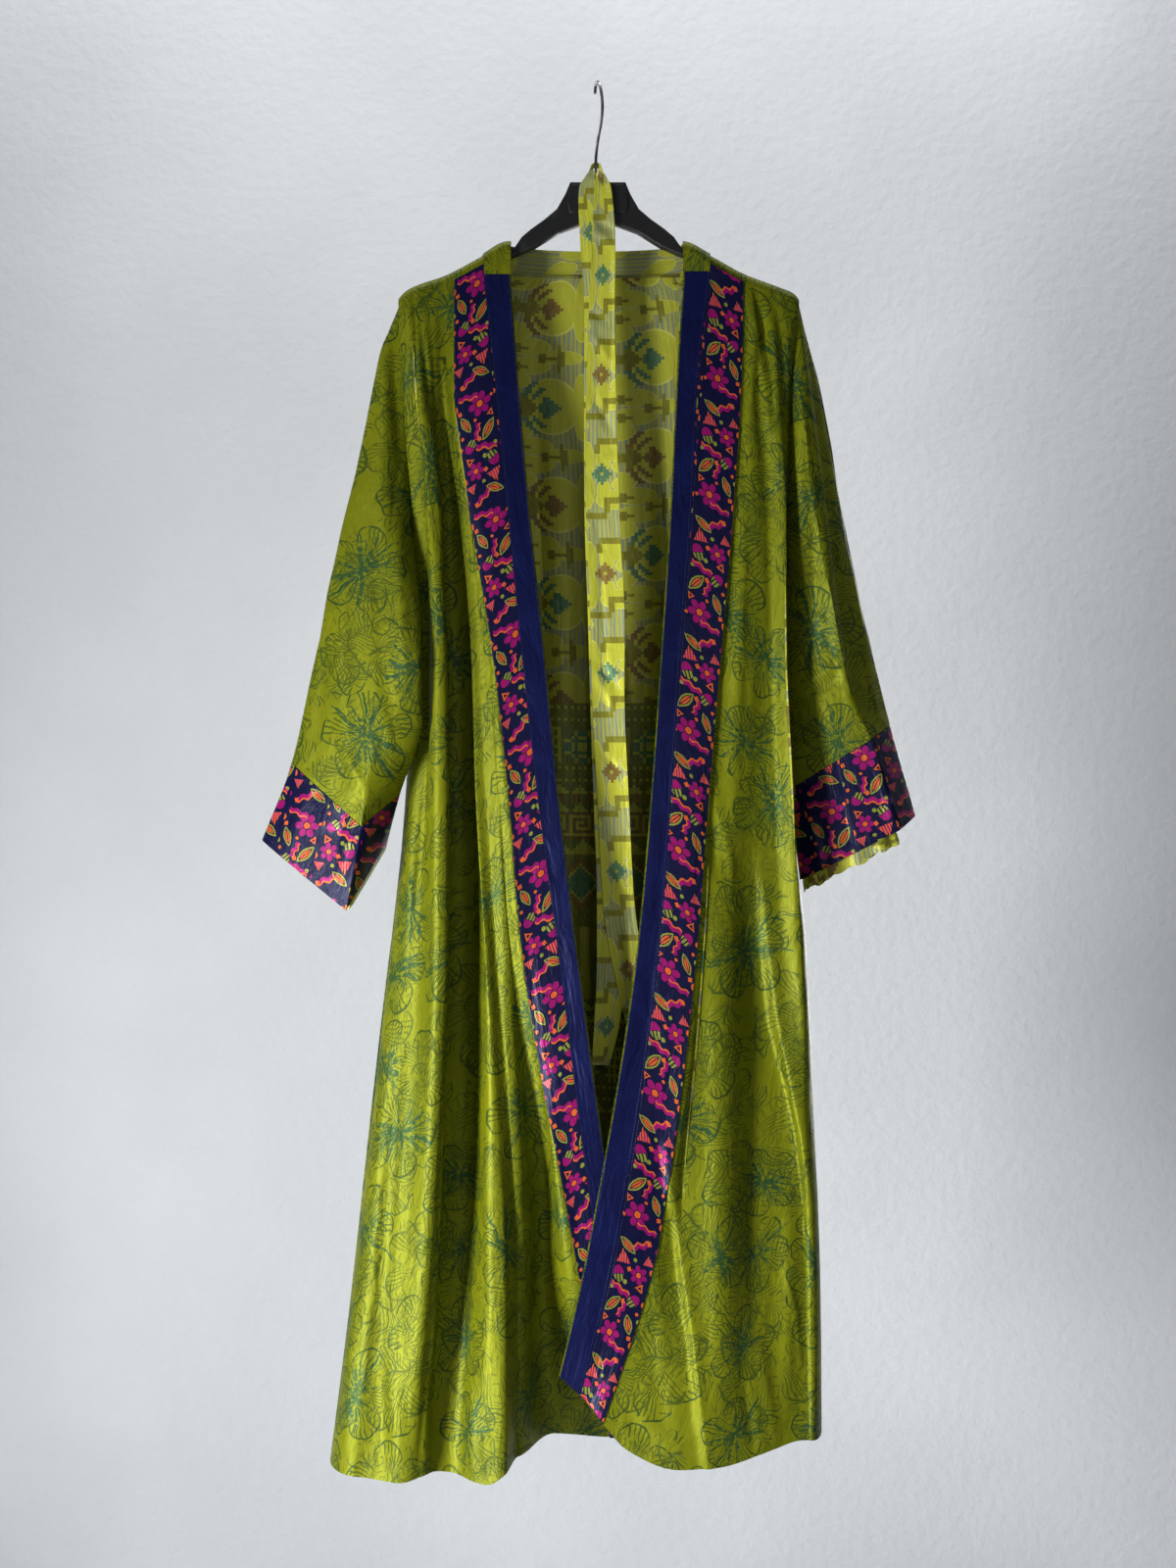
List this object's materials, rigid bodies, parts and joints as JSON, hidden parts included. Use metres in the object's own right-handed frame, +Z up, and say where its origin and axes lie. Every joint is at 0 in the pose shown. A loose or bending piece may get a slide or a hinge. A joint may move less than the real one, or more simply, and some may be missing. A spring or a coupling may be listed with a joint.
{
  "type": "kimono robe on hanger",
  "caption": "Long lined kimono robe hung open on a moulded hanger: straight sleeves with printed cuffs, printed front borders, and its own belt over the hook.",
  "frame": {"origin": "crest inside the hook, where a rail or wall hook carries the hanger", "axes": "+Z up, +Y towards the back of the robe, +X to the wearer's left"},
  "size_m": [0.687, 0.1768, 1.449],
  "materials": {
    "silk_green": "satin",
    "silk_navy": "satin",
    "silk_border": "satin",
    "silk_lining": "satin",
    "hanger_plastic": "satin",
    "hook_steel": "brushed"
  },
  "bodies": {
    "root": {"front_left": "silk_green", "front_right": "silk_green", "back": "silk_green", "back_lining": "silk_lining", "band_plain_left": "silk_navy", "band_plain_right": "silk_navy", "border_print_left": "silk_border", "border_print_right": "silk_border", "neck_band": "silk_green", "sleeve_left": "silk_green", "sleeve_right": "silk_green", "cuff_left": "silk_border", "cuff_right": "silk_border", "cuff_lining_right": "silk_lining", "belt": "silk_lining", "hanger_body": "hanger_plastic", "hanger_hook": "hook_steel"}
  },
  "joints": []
}
